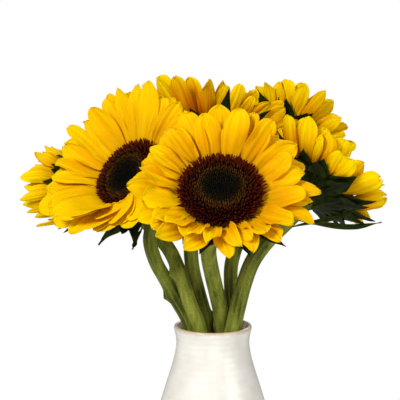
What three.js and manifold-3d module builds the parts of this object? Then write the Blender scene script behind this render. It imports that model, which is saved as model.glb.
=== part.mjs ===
// Six cut sunflowers standing in a plain glazed vase that holds water.
// Millimetres, +Z up. The origin is the centre of the vase's base, and the flowers' front faces -Y.
import * as THREE from "three";
import { mergeVertices } from "three/addons/utils/BufferGeometryUtils.js";
import Module from "manifold-3d";

const wasm = await Module();
wasm.setup();

// ---------------------------------------------------------------- driving sizes

const GAP = 0.35; // clear space between pieces that touch

const VASE = {
  height: 205,
  base: 41, // outer radii, from the base to the lip
  belly: 53,
  bellyHeight: 82,
  neck: 29.5,
  neckHeight: 184,
  lip: 32,
  wall: 4.2,
  floor: 8,
  sides: 24,
};
const WATER_LEVEL = 128;
const FOOT_LIFT = 1.5; // a slanting stem's middle stands this far off the floor
const RIM = VASE.height;

const THICKNESS = { ray: 1.2, bract: 1.4, leaf: 1.4 };
const HEAD = {
  core: 9, // the receptacle's core is this much smaller than the disc
  domeHeight: 7,
  rayInner: -2.6, // heights of the rings along the head's axis, from the disc's rim
  rayOuter: -5.0,
  bractInner: -7.6,
  bractOuter: -10.2,
  back: -30, // where the receptacle has narrowed to the stem
  neck: 6, // the stem's last bend is this far behind the receptacle
};
const FAN_LEAN = 60; // a lean of this many degrees doubles the fan between two whorls
const TUBE = { steps: 16, sides: 8 }; // how finely a stem is cut along and around
const BEND_STEPS = 24; // how finely a blade's bend is added up
const HUB = { depth: 4, sides: 16 }; // the cutter that opens the middle of a whorl

// Each head: where its disc's rim is centred (z from the vase's rim), which way it faces, and the
// radii of its disc and of its rays' tips. cup is the rise of the rays above the disc's plane, in
// degrees; spread is what the inner whorl adds to it and the outer one takes from it, upCup adds
// towards the head's upper side, and curl is how far the tips bend back. Each lean bends the rays
// and bracts near one direction (degrees, anticlockwise from the head's own right) by so many
// degrees, where a neighbour presses on them, and makes them a share longer or shorter. via, rim,
// waist and foot are where the stem passes: above the vase, in its mouth, below its neck and on
// its floor.
const FLOWERS = {
  a: {
    at: [5, -95, 122],
    facing: [0, -0.73, 0.68],
    disc: 32,
    reach: 70,
    rays: 16,
    cup: 26,
    spread: 6,
    upCup: -2,
    curl: 26,
    leans: [
      { toward: 170, over: 45, by: 3, length: -0.12 },
      { toward: 270, over: 50, by: 14, length: -0.14 },
      { toward: 80, over: 45, length: 0.14 },
    ],
    stem: 6.4,
    via: [[-4, -34, 70]],
    rim: [7.4, -1],
    waist: [5.5, 0],
    foot: [9, 1],
  },
  b: {
    at: [-64.5, -40, 124],
    facing: [-0.61, -0.6, 0.515],
    disc: 33,
    reach: 79,
    rays: 17,
    cup: 34,
    spread: 6,
    upCup: 0,
    curl: 18,
    leans: [
      { toward: 22, over: 58, by: -83, length: -0.4 },
      { toward: 262, over: 50, by: 34, length: -0.24 },
      { toward: 110, over: 45, by: 6, length: 0.14 },
    ],
    stem: 5.7,
    via: [[-32, -2, 26], [-50, -16, 70]],
    rim: [-18.8, -1],
    waist: [-14.5, 2],
    foot: [-26, 4],
  },
  c: {
    at: [-121, 38, 106],
    facing: [-0.9, 0.41, -0.11],
    disc: 22,
    reach: 52,
    rays: 13,
    cup: 61,
    spread: 7,
    upCup: 0,
    curl: 8,
    leans: [],
    stem: 5.9,
    via: [[-21, -15, 27], [-34, -7, 61]],
    rim: [-10.8, -13.4],
    waist: [-7.5, -11.5],
    foot: [-14, -20],
  },
  d: {
    at: [-3, 52, 137],
    facing: [0, 0.8, 0.58],
    disc: 31,
    reach: 75,
    rays: 16,
    cup: 24,
    spread: 6,
    upCup: 0,
    curl: 12,
    leans: [{ toward: 205, over: 35, by: -73, length: -0.55 }],
    stem: 6.0,
    via: [[-18, 14, 60]],
    rim: [-5.6, 4],
    waist: [-4, 12],
    foot: [-8, 23],
  },
  f: {
    at: [64, 90, 140],
    facing: [0.45, 0.8, 0.39],
    disc: 28,
    reach: 60,
    rays: 14,
    cup: 22,
    spread: 6,
    upCup: 0,
    curl: 12,
    leans: [{ toward: 30, over: 45, length: -0.15 }],
    stem: 5.8,
    via: [[17, 16, 56], [49, 42, 108]],
    rim: [15.4, 10],
    waist: [11, 12.5],
    foot: [20, 22],
  },
  g: {
    at: [87, 0, 116],
    facing: [0.62, 0.44, 0.64],
    disc: 30,
    reach: 62,
    rays: 14,
    cup: 42,
    spread: 7,
    upCup: 0,
    curl: 8,
    leans: [
      { toward: 15, over: 50, by: 12 },
      { toward: 235, over: 45, by: 12 },
    ],
    stem: 6.5,
    via: [[33, -12, 57]],
    rim: [16.2, -12.6],
    waist: [10, -12],
    foot: [17, -20],
  },
};

// The narrow upper leaves: where each leaves its stem, where it points (z of both from the vase's
// rim), how far it droops from root to tip, and how far its upper face is rolled, both in degrees.
const LEAVES = {
  leaf_b_long: { root: [-54.5, -20, 92], tip: [-90, -42, 74], width: 12, droop: 22, roll: 20 },
  leaf_b_short: { root: [-56, -20, 82], tip: [-61, -25, 66], width: 7, droop: 8, roll: 0 },
  leaf_g_long: { root: [62, -22, 84], tip: [132, -14, 85], width: 11, droop: -18, roll: -50 },
  leaf_g_short: { root: [57, -23, 78], tip: [112, -36, 100], width: 9, droop: -12, roll: -45 },
};

// ---------------------------------------------------------------- solids and materials

const MATERIALS = {
  ray: { color: 0xf7c600, roughness: 0.55 },
  disc: { color: 0x35150a, roughness: 0.9 },
  bract: { color: 0x2f4a1c, roughness: 0.7 },
  leaf: { color: 0x2b451b, roughness: 0.7 },
  stem: { color: 0x5f7a2e, roughness: 0.6 },
  glaze: { color: 0xf1eee6, roughness: 0.2 },
  water: { color: 0xd9e6e4, roughness: 0.05 },
};

function material(kind) {
  return new THREE.MeshStandardMaterial({ ...MATERIALS[kind], metalness: 0, name: kind });
}

// A closed three.js geometry as a solid that can be joined and cut.
function solidOf(geometry, matrix = new THREE.Matrix4()) {
  const bare = geometry.index ? geometry.toNonIndexed() : geometry.clone();
  bare.deleteAttribute("normal");
  bare.deleteAttribute("uv");
  const merged = mergeVertices(bare.applyMatrix4(matrix), 1e-4);
  return new wasm.Manifold(
    new wasm.Mesh({
      numProp: 3,
      vertProperties: merged.attributes.position.array,
      triVerts: new Uint32Array(merged.index.array),
    }),
  );
}

function geometryOf(solid) {
  const { vertProperties, triVerts, numProp, numVert } = solid.getMesh();
  const positions = new Float32Array(numVert * 3);
  for (let i = 0; i < numVert; i++) {
    positions.set(vertProperties.subarray(i * numProp, i * numProp + 3), i * 3);
  }
  const geometry = new THREE.BufferGeometry();
  geometry.setAttribute("position", new THREE.BufferAttribute(positions, 3));
  geometry.setIndex(new THREE.BufferAttribute(new Uint32Array(triVerts), 1));
  geometry.computeVertexNormals();
  return geometry;
}

function mesh(name, kind, solid) {
  const made = new THREE.Mesh(geometryOf(solid), material(kind));
  made.name = name;
  return made;
}

// A profile of [radius, height] pairs turned round the Z axis. Every profile here runs
// anticlockwise, from the axis or round a closed ring.
function turned(profile, sides) {
  const points = profile.map(([r, z]) => new THREE.Vector2(r, z));
  const geometry = new THREE.LatheGeometry(points, sides);
  return solidOf(geometry.rotateX(Math.PI / 2));
}

// A steady number from 0 to 1 for the k-th item of a set, so that no two blades are alike.
function scatter(k, set) {
  const x = Math.sin(k * 12.9898 + set * 78.233) * 43758.5453;
  return x - Math.floor(x);
}

// ---------------------------------------------------------------- petals, bracts and leaves

// Half a blade's outline, from its root to its tip, as [share of length, share of half-width].
const OUTLINES = {
  ray: [[0, 0.55], [0.42, 1], [0.8, 0.74], [1, 0]],
  bract: [[0, 0.85], [0.32, 1], [1, 0]],
  leaf: [[0, 0.25], [0.2, 0.55], [0.45, 1], [0.72, 0.6], [1, 0]],
};

// A blade's whole outline in its own plane: along X from its root, which may not be wider than
// limit(x) to either side.
function bladeOutline(kind, length, width, limit = () => Infinity) {
  const side = OUTLINES[kind].map(([s, w]) => {
    const half = Math.min((w * width) / 2, limit(s * length));
    return new THREE.Vector2(s * length, half);
  });
  const right = side.map(({ x, y }) => new THREE.Vector2(x, -y));
  return [...right, ...side.reverse().slice(1)];
}

// Where a point of a flat blade goes when the blade bends. rise(s) is the slope in radians at
// share s of the length, and roll(s) the turn about the blade's own middle line there.
function bent({ x, y, z }, length, rise, roll) {
  const s = THREE.MathUtils.clamp(x / length, 0, 1);
  const middle = new THREE.Vector2(Math.min(x, 0), 0);
  for (let i = 0; i < BEND_STEPS; i++) {
    const angle = rise((s * (i + 0.5)) / BEND_STEPS);
    const step = (s * length) / BEND_STEPS;
    middle.add(new THREE.Vector2(Math.cos(angle), Math.sin(angle)).multiplyScalar(step));
  }
  const turn = roll(s);
  const up = y * Math.sin(turn) + z * Math.cos(turn);
  const across = y * Math.cos(turn) - z * Math.sin(turn);
  const angle = rise(s);
  return new THREE.Vector3(middle.x - up * Math.sin(angle), across, middle.y + up * Math.cos(angle));
}

// How far the neighbours press on a head's blades in direction phi (degrees).
function pressed(flower, phi, what) {
  return flower.leans.reduce((sum, lean) => {
    const off = THREE.MathUtils.euclideanModulo(phi - lean.toward + 180, 360) - 180;
    return sum + (lean[what] ?? 0) * Math.exp(-((off / lean.over) ** 2));
  }, 0);
}

// The k-th blade of a whorl: where it points, how long it is and how it bends.
function bladeOf(flower, spec, edge, k) {
  const radians = THREE.MathUtils.degToRad;
  const vary = (i) => scatter(k, spec.set + i) - 0.5;
  const phi = (360 * (k + spec.phase + spec.wander * vary(0))) / spec.count;
  const up = Math.sin(radians(phi));
  const reach = spec.reach * (1 + spec.uneven * vary(1));
  const length = (reach - edge) * (1 + pressed(flower, phi, "length"));
  const lean = pressed(flower, phi, "by");
  const fan = spec.fan * (1 + Math.abs(lean) / FAN_LEAN);
  const cup = radians(spec.cup + spec.upCup * up + lean + fan + spec.loose * vary(2));
  const curl = radians(spec.curl * (1 - 0.5 * up));
  const turn = radians(spec.twist * vary(3));
  return {
    angle: radians(phi),
    length,
    width: spec.width * (1 + 0.14 * vary(4)),
    rise: (s) => cup * THREE.MathUtils.smoothstep(s, 0, 0.25) - curl * s * s,
    roll: (s) => turn * THREE.MathUtils.smoothstep(s, 0, 0.6),
  };
}

// One whorl of blades in the head's own frame: a flat star round an open hub, bent blade by blade.
function whorl(flower, spec) {
  const edge = flower.disc + spec.stand;
  const pitch = (2 * Math.PI) / spec.count;
  const blades = Array.from({ length: spec.count }, (_, k) => bladeOf(flower, spec, edge, k));
  const limit = (x) => (edge + x) * Math.tan(0.45 * pitch);
  const star = new THREE.Shape(
    blades.flatMap(({ angle, length, width }) =>
      bladeOutline(spec.kind, length, width, limit).map(({ x, y }) =>
        new THREE.Vector2(edge + x, y).rotateAround(new THREE.Vector2(), angle),
      ),
    ),
  );
  const depth = THICKNESS[spec.kind];
  const geometry = new THREE.ExtrudeGeometry(star, { depth, bevelEnabled: false });
  const position = geometry.attributes.position;
  const point = new THREE.Vector3();
  const axis = new THREE.Vector3(0, 0, 1);
  for (let i = 0; i < position.count; i++) {
    point.fromBufferAttribute(position, i);
    const angle = Math.atan2(point.y, point.x);
    const off = (blade) => Math.abs(Math.sin((angle - blade.angle) / 2));
    const blade = blades.reduce((best, other) => (off(other) < off(best) ? other : best));
    point.applyAxisAngle(axis, -blade.angle);
    point.x -= edge;
    point.z -= depth / 2;
    const moved = bent(point, blade.length, blade.rise, blade.roll);
    moved.x += edge;
    moved.z += spec.height;
    position.setXYZ(i, ...moved.applyAxisAngle(axis, blade.angle));
  }
  const core = flower.disc - HEAD.core + 2 * GAP;
  const hub = new THREE.CylinderGeometry(core, core, HUB.depth, HUB.sides);
  const placed = new THREE.Matrix4().makeTranslation(0, 0, spec.height);
  return solidOf(geometry).subtract(solidOf(hub.rotateX(Math.PI / 2), placed));
}

function rayWhorls(flower, set) {
  const shared = {
    kind: "ray",
    count: flower.rays,
    width: 19,
    upCup: flower.upCup,
    curl: flower.curl,
    uneven: 0.1,
    wander: 0.08,
    loose: 3,
    twist: 14,
  };
  const { reach, cup, spread } = flower;
  return {
    rays_inner: whorl(flower, {
      ...shared, set, phase: 0.5, stand: 1.5, height: HEAD.rayInner,
      reach: reach - 3, cup, fan: spread,
    }),
    rays_outer: whorl(flower, {
      ...shared, set: set + 10, phase: 0, stand: 3, height: HEAD.rayOuter,
      reach, cup, fan: -spread,
    }),
  };
}

function bractWhorls(flower, set) {
  const shared = {
    kind: "bract",
    uneven: 0.25,
    wander: 0.1,
    loose: 5,
    twist: 10,
    upCup: 0,
    width: 12,
  };
  const { disc, cup } = flower;
  return {
    bracts_inner: whorl(flower, {
      ...shared, set: set + 20, count: 12, phase: 0.5, stand: 2, height: HEAD.bractInner,
      reach: disc + 20, cup: cup - 8, fan: -13, curl: 8,
    }),
    bracts_outer: whorl(flower, {
      ...shared, set: set + 30, count: 11, phase: 0, stand: 0.5, height: HEAD.bractOuter,
      reach: disc + 15, cup: cup - 8, fan: -27, curl: 12,
    }),
  };
}

// ---------------------------------------------------------------- heads and stems

function vector([x, y, z]) {
  return new THREE.Vector3(x, y, z);
}

// The head's own frame: Z the way it faces, Y its upper side, origin at the centre of its disc's rim.
function headFrame(flower) {
  const facing = vector(flower.facing).normalize();
  const up = new THREE.Vector3(0, 0, 1).addScaledVector(facing, -facing.z).normalize();
  const right = new THREE.Vector3().crossVectors(up, facing);
  const [x, y, z] = flower.at;
  return new THREE.Matrix4().makeBasis(right, up, facing).setPosition(x, y, z + RIM);
}

// The seed disc: a flat underside, an undercut rim and a low dome.
function seedDisc(flower) {
  const r = flower.disc;
  const h = HEAD.domeHeight;
  return turned(
    [[0, -1.2], [r - 5, -1.2], [r, 1.2], [r - 1, 3.4], [r * 0.75, h], [0, h * 0.9]],
    20,
  );
}

// The receptacle: a core that carries the rings, over a cone that narrows to the stem.
function receptacle(flower) {
  const core = flower.disc - HEAD.core;
  const shoulder = HEAD.bractOuter - THICKNESS.bract / 2 - GAP;
  const r = flower.stem;
  return turned(
    [
      [0, HEAD.back],
      [r, HEAD.back],
      [r * 1.35, HEAD.back + 6],
      [core * 0.72, shoulder - 5.5],
      [core + 3, shoulder - 1.5],
      [core + 3, shoulder],
      [core, shoulder],
      [core, -1.2 - GAP],
      [0, -1.2 - GAP],
    ],
    14,
  );
}

function stemCurve(flower) {
  const frame = headFrame(flower);
  const behind = (z) => new THREE.Vector3(0, 0, z).applyMatrix4(frame);
  const { foot, waist, rim, via } = flower;
  return new THREE.CatmullRomCurve3(
    [
      new THREE.Vector3(foot[0], foot[1], VASE.floor + FOOT_LIFT),
      new THREE.Vector3(waist[0], waist[1], RIM - 34),
      new THREE.Vector3(rim[0], rim[1], RIM),
      ...via.map(([x, y, z]) => new THREE.Vector3(x, y, RIM + z)),
      behind(HEAD.back - HEAD.neck),
      behind(HEAD.back + 1),
    ],
    false,
    "centripetal",
  );
}

function tube(curve, radius) {
  const { steps, sides } = TUBE;
  const section = new THREE.Shape();
  for (let i = 0; i < sides; i++) {
    const angle = (2 * Math.PI * i) / sides;
    const [x, y] = [radius * Math.cos(angle), radius * Math.sin(angle)];
    if (i) section.lineTo(x, y);
    else section.moveTo(x, y);
  }
  return solidOf(new THREE.ExtrudeGeometry(section, { steps, extrudePath: curve, bevelEnabled: false }));
}

// The stem and the receptacle grow as one piece.
function stem(flower) {
  const head = receptacle(flower).transform(headFrame(flower).elements);
  return tube(stemCurve(flower), flower.stem).add(head);
}

// A leaf from its root to its tip, bent down or up along the way, with its upper face upwards.
function leaf({ root, tip, width, droop, roll }) {
  const start = vector(root).setZ(root[2] + RIM);
  const along = vector(tip).setZ(tip[2] + RIM).sub(start);
  const length = along.length();
  const x = along.normalize();
  const y = new THREE.Vector3(0, 0, 1).cross(x).normalize();
  const z = new THREE.Vector3().crossVectors(x, y);
  const bend = THREE.MathUtils.degToRad(droop);
  const turn = THREE.MathUtils.degToRad(roll);
  const depth = THICKNESS.leaf;
  const shape = new THREE.Shape(bladeOutline("leaf", length, width));
  const geometry = new THREE.ExtrudeGeometry(shape, { depth, bevelEnabled: false });
  const position = geometry.attributes.position;
  const point = new THREE.Vector3();
  for (let i = 0; i < position.count; i++) {
    point.fromBufferAttribute(position, i);
    point.z -= depth / 2;
    const moved = bent(point, length, (s) => bend * (1 - 2 * s), () => turn);
    position.setXYZ(i, ...moved);
  }
  return solidOf(geometry, new THREE.Matrix4().makeBasis(x, y, z).setPosition(start));
}

// ---------------------------------------------------------------- vase and water

function vaseCurve() {
  const v = VASE;
  return new THREE.SplineCurve([
    new THREE.Vector2(v.base, 3),
    new THREE.Vector2(v.base + 7, 30),
    new THREE.Vector2(v.belly, v.bellyHeight),
    new THREE.Vector2(v.belly - 8, v.bellyHeight + 52),
    new THREE.Vector2(v.neck, v.neckHeight),
    new THREE.Vector2(v.lip, v.height - 2),
  ]);
}

function vase() {
  const v = VASE;
  const outside = vaseCurve().getPoints(11).map((p) => [p.x, p.y]);
  const inside = [...outside].reverse().map(([r, z]) => [r - v.wall, z]).filter(([, z]) => z > v.floor + 4);
  return turned(
    [
      [0, 0],
      [v.base - 2.5, 0],
      ...outside,
      [v.lip - 1, v.height],
      [v.lip - v.wall + 1, v.height],
      ...inside,
      [v.base - v.wall - 2, v.floor],
      [0, v.floor],
    ],
    v.sides,
  );
}

// The water fills the vase to its level, round the stems that stand in it.
function water() {
  const v = VASE;
  const side = vaseCurve()
    .getPoints(11)
    .map((p) => [p.x - v.wall - GAP * 2, p.y])
    .filter(([, z]) => z > v.floor + 4 && z < WATER_LEVEL - 4);
  const top = side[side.length - 1][0] - 2;
  let solid = turned(
    [[0, v.floor + GAP], [v.base - v.wall - 3.2, v.floor + GAP], ...side, [top, WATER_LEVEL], [0, WATER_LEVEL]],
    v.sides,
  );
  for (const flower of Object.values(FLOWERS)) {
    const hole = tube(stemCurve(flower), flower.stem + GAP);
    const below = hole.translate([0, 0, -2 * GAP]);
    solid = solid.subtract(hole).subtract(below);
  }
  return solid;
}

// ---------------------------------------------------------------- the bouquet

const bouquet = new THREE.Group();
bouquet.add(mesh("vase", "glaze", vase()), mesh("water", "water", water()));

Object.entries(FLOWERS).forEach(([letter, flower], i) => {
  bouquet.add(mesh(`stem_${letter}`, "stem", stem(flower)));
  const head = new THREE.Group();
  head.applyMatrix4(headFrame(flower));
  head.add(mesh(`disc_${letter}`, "disc", seedDisc(flower)));
  for (const [name, solid] of Object.entries(rayWhorls(flower, 100 * i))) {
    head.add(mesh(`${name}_${letter}`, "ray", solid));
  }
  for (const [name, solid] of Object.entries(bractWhorls(flower, 100 * i))) {
    head.add(mesh(`${name}_${letter}`, "bract", solid));
  }
  bouquet.add(head);
});

for (const [name, spec] of Object.entries(LEAVES)) bouquet.add(mesh(name, "leaf", leaf(spec)));

export default bouquet;
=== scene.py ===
"""Six cut sunflowers standing in a pale stoneware vase of water.

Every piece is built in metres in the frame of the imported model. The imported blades, discs, stems
and vase are measured first, and each finished piece is grown along what was measured.
"""

import logging
import math
import random
from collections.abc import Iterable, Sequence
from dataclasses import dataclass
from enum import Enum

import bmesh
import bpy
import numpy as np
from mathutils import Matrix, Vector


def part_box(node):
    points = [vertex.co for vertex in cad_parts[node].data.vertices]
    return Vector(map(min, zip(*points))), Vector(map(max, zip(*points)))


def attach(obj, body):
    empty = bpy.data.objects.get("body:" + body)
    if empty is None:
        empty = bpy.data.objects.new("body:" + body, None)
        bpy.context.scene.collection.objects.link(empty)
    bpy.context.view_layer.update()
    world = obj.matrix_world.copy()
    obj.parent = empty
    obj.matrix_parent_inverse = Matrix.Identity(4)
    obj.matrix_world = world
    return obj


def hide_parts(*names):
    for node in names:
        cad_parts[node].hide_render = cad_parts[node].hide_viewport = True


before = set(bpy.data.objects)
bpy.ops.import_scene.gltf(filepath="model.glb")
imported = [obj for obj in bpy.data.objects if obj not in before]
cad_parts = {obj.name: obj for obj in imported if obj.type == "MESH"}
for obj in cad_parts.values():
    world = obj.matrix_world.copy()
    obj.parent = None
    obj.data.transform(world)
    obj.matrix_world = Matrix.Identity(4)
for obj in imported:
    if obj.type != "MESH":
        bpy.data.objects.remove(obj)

MM = 0.001
TURN = 2 * math.pi
GOLDEN_ANGLE = math.radians(137.50776)
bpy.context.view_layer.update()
LOG = logging.getLogger("bouquet")

# A Mix node's inputs when it mixes colours, and its two settings that are used here.
SHARE, UNDER, OVER = 0, 6, 7
LAID_OVER = {"data_type": "RGBA"}
MULTIPLIED = {"data_type": "RGBA", "blend_type": "MULTIPLY"}

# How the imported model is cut: corners at each station of a blade, at its tip, and round a stem.
STATION_CORNERS, TIP_CORNERS, STEM_CORNERS = 4, 2, 8
# How far behind a disc the bend of its stem reaches.
NECK = 45 * MM
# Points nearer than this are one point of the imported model.
WELD = 0.02 * MM


# ---------------------------------------------------------------- small tools


def linear(code: str) -> tuple[float, float, float, float]:
    """Turn an sRGB hex colour into the linear values that a shader takes.

    Args:
        code: The colour, as "#rrggbb".

    Returns:
        Red, green, blue and an alpha of 1.
    """
    parts = [int(code[i : i + 2], 16) / 255 for i in (1, 3, 5)]
    return (*[c / 12.92 if c <= 0.04045 else ((c + 0.055) / 1.055) ** 2.4 for c in parts], 1.0)


def feed(tree: bpy.types.NodeTree, node: bpy.types.Node, sockets: dict) -> None:
    """Set or link a shader node's inputs.

    Args:
        tree: The node tree that the node is in.
        node: The node.
        sockets: What each input takes, by name or number: a value, a node's output, or a node,
            which stands for its first output in use.
    """
    for name, value in sockets.items():
        if isinstance(value, bpy.types.Node):
            value = next(output for output in value.outputs if output.enabled)
        if isinstance(value, bpy.types.NodeSocket):
            tree.links.new(value, node.inputs[name])
        else:
            node.inputs[name].default_value = value


def add(
    tree: bpy.types.NodeTree,
    kind: str,
    sockets: dict | None = None,
    stops: Sequence[tuple[float, str]] = (),
    **settings: object,
) -> bpy.types.Node:
    """Add one shader node with its settings and links.

    Args:
        tree: The node tree it goes in.
        kind: Its type, without the "ShaderNode" in front.
        sockets: What each input takes, as feed has it.
        stops: The stops of a colour ramp, as positions and hex colours, from low to high.
        settings: The node's own properties.

    Returns:
        The new node.
    """
    made = tree.nodes.new("ShaderNode" + kind)
    for name, value in settings.items():
        setattr(made, name, value)
    feed(tree, made, sockets or {})
    for i, (position, code) in enumerate(stops):
        elements = made.color_ramp.elements
        stop = elements[i] if i < len(elements) else elements.new(position)
        stop.position, stop.color = position, linear(code)
    return made


def painted(
    name: str, **constants: object
) -> tuple[bpy.types.Material, bpy.types.NodeTree, bpy.types.Node]:
    """Start a material with a Principled surface.

    Args:
        name: The material's name.
        constants: Values of the surface's own sockets, with _ for each space.

    Returns:
        The material, its node tree and its Principled node.
    """
    material = bpy.data.materials.new(name)
    material.use_nodes = True
    tree = material.node_tree
    surface = tree.nodes["Principled BSDF"]
    feed(tree, surface, {key.replace("_", " "): value for key, value in constants.items()})
    return material, tree, surface


# ---------------------------------------------------------------- finishes


@dataclass(frozen=True)
class PetalSkin:
    """Fresh sunflower ray petal: thin waxy skin, pleated along its length.

    Gives the eye a deep golden yellow that runs to amber at the root, partly painted shade there,
    fine lengthwise streaks, painted shade in the pleats and along the margins near the root, and a
    duller back, with a soft glow where light passes through.

    Attributes:
        name: The material's name.
        streak: Width of one streak.
        petal_width: Width of a usual petal, across which the streaks are counted.
        drawn_out: How many streaks' lengths there are from root to tip.
        tongue: How far the amber runs out in tongues, as a share of the length.
        own: How far a petal's own tone moves its colours along it, as a share of the length.
        relief: Height of the streaks.
    """

    name: str = "fresh_ray_petal"
    streak: float = 0.8 * MM
    petal_width: float = 18 * MM
    drawn_out: float = 1.7
    tongue: float = 1.0
    own: float = 0.24
    relief: float = 0.35 * MM

    def material(self) -> bpy.types.Material:
        """Make the petals' material.

        Returns:
            The material.
        """
        material, tree, surface = painted(
            self.name,
            Roughness=0.55,
            Specular_IOR_Level=0.02,
            Subsurface_Weight=0.1,
            Subsurface_Radius=(1.0, 0.55, 0.05),
            Subsurface_Scale=2.0 * MM,
        )
        spread = add(tree, "SeparateXYZ", {"Vector": add(tree, "UVMap", uv_map="along")})
        across, ahead = spread.outputs["X"], spread.outputs["Y"]
        tone, fold, back = (
            add(tree, "Attribute", attribute_name=name).outputs["Fac"]
            for name in ("tone", "fold", "back")
        )

        # Streaks: a noise drawn out along the petal, of which each petal takes a slice far off.
        lines = self.petal_width / self.streak / 2
        place = add(
            tree,
            "CombineXYZ",
            {
                "X": add(tree, "Math", {0: across, 1: lines}, operation="MULTIPLY"),
                "Y": add(tree, "Math", {0: ahead, 1: self.drawn_out}, operation="MULTIPLY"),
                "Z": add(tree, "Math", {0: tone, 1: 61.0}, operation="MULTIPLY"),
            },
        )
        veins = add(tree, "TexNoise", {"Vector": place, "Scale": 1.0, "Detail": 3.0})

        # The colour from amber root to yellow tip, in uneven tongues: partly the petal's own colour,
        # partly painted shade down near the disc.
        tongues = add(tree, "TexNoise", {"Vector": place, "Scale": 0.32, "Detail": 1.0})
        uneven = add(tree, "Math", {0: tongues, 1: self.tongue}, operation="MULTIPLY")
        own = add(tree, "Math", {0: tone, 1: self.own}, operation="MULTIPLY")
        both = add(tree, "Math", {0: uneven, 1: own}, operation="ADD")
        usual = (self.tongue + self.own) / 2
        shift = add(tree, "Math", {0: both, 1: usual}, operation="SUBTRACT")
        root_amber_and_shade = add(
            tree,
            "ValToRGB",
            {"Fac": add(tree, "Math", {0: ahead, 1: shift}, operation="ADD")},
            stops=[
                (0.0, "#8f3300"),
                (0.16, "#b04a00"),
                (0.32, "#da7d00"),
                (0.56, "#f3b700"),
                (0.8, "#fedd00"),
                (1.0, "#ffe900"),
            ],
        )
        shade = add(tree, "ValToRGB", {"Fac": veins}, stops=[(0.34, "#e69a34"), (0.6, "#ffffff")])
        veined = add(tree, "Mix", {SHARE: 0.6, UNDER: root_amber_and_shade, OVER: shade}, **MULTIPLIED)

        # Painted shade: deeper gold down in the pleats.
        deep = add(tree, "Math", {0: fold, 1: 0.6}, operation="MULTIPLY")
        gold = {SHARE: deep, UNDER: veined, OVER: linear("#e08600")}
        folded = add(tree, "Mix", gold, **LAID_OVER)

        # Painted shade: amber along the margins near the root, where neighbouring petals shade each
        # other, fading towards the tip.
        half = add(tree, "Math", {0: across, 1: 0.5}, operation="SUBTRACT")
        aside = add(tree, "Math", {0: half}, operation="ABSOLUTE")
        margin = add(tree, "MapRange", {"Value": aside, "From Min": 0.26, "From Max": 0.5})
        fading = {"Value": ahead, "From Min": 0.85, "From Max": 0.2, "To Max": 0.9}
        low = add(tree, "MapRange", fading)
        rim = add(tree, "Math", {0: margin, 1: low}, operation="MULTIPLY")
        amber = {SHARE: rim, UNDER: folded, OVER: linear("#b04a00")}
        margin_shaded = add(tree, "Mix", amber, **LAID_OVER)

        # Each petal's own paleness, with painted light and shade by side of the head from the
        # pushes' tone in it, and the duller back.
        pale = add(tree, "Math", {0: tone, 1: 0.5}, operation="MULTIPLY")
        yellow = {SHARE: pale, UNDER: margin_shaded, OVER: linear("#ffd900")}
        toned = add(tree, "Mix", yellow, **LAID_OVER)
        dull = add(tree, "Math", {0: back, 1: 0.55}, operation="MULTIPLY")
        duller = {SHARE: dull, UNDER: toned, OVER: linear("#f6bb00")}
        finished = add(tree, "Mix", duller, **LAID_OVER)

        streaks = {"Height": veins, "Distance": self.relief, "Strength": 0.7}
        feed(tree, surface, {"Base Color": finished, "Normal": add(tree, "Bump", streaks)})
        return material


@dataclass(frozen=True)
class FloretHusk:
    """Disc florets: dry tubes over ripening seed, nearly black in the middle, maroon at the rim.

    Gives the eye a soft dark pile with a brown ring in it and redder tips round its edge, with
    painted shade down between the florets.

    Attributes:
        name: The material's name.
        grain: Size of the husks' grain.
        relief: Height of that grain.
    """

    name: str = "dark_disc_florets"
    grain: float = 0.4 * MM
    relief: float = 0.12 * MM

    def material(self) -> bpy.types.Material:
        """Make the florets' material.

        Returns:
            The material.
        """
        material, tree, surface = painted(self.name, Roughness=0.7, Specular_IOR_Level=0.06)
        reach, tone, tip = (
            add(tree, "Attribute", attribute_name=name).outputs["Fac"]
            for name in ("reach", "tone", "tip")
        )

        # The sides and the tips of the florets, each from the disc's centre out to its rim.
        sides = add(
            tree,
            "ValToRGB",
            {"Fac": reach},
            stops=[
                (0.0, "#050402"),
                (0.41, "#0c0a05"),
                (0.51, "#2b1b08"),
                (0.61, "#442709"),
                (0.7, "#3d1f06"),
                (0.78, "#350901"),
                (1.0, "#521002"),
            ],
        )
        ends = add(
            tree,
            "ValToRGB",
            {"Fac": reach},
            stops=[
                (0.0, "#151411"),
                (0.44, "#2c240e"),
                (0.61, "#704a13"),
                (0.76, "#5c1c04"),
                (1.0, "#701f05"),
            ],
        )
        high = add(tree, "Math", {0: tip, 1: 2.0}, operation="POWER")
        lit = add(tree, "Math", {0: high, 1: tone}, operation="MULTIPLY")
        tipped = add(tree, "Mix", {SHARE: lit, UNDER: sides, OVER: ends}, **LAID_OVER)

        # Painted shade: darker down between the florets.
        low = add(tree, "ValToRGB", {"Fac": tip}, stops=[(0.0, "#555555"), (0.7, "#ffffff")])
        deep = add(tree, "Mix", {SHARE: 1.0, UNDER: tipped, OVER: low}, **MULTIPLIED)

        spot = add(tree, "TexCoord").outputs["Object"]
        grain = add(tree, "TexNoise", {"Vector": spot, "Scale": 1 / self.grain, "Detail": 2.0})
        rough = {"Height": grain, "Distance": self.relief, "Strength": 0.6}
        feed(tree, surface, {"Base Color": deep, "Normal": add(tree, "Bump", rough)})
        return material


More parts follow.
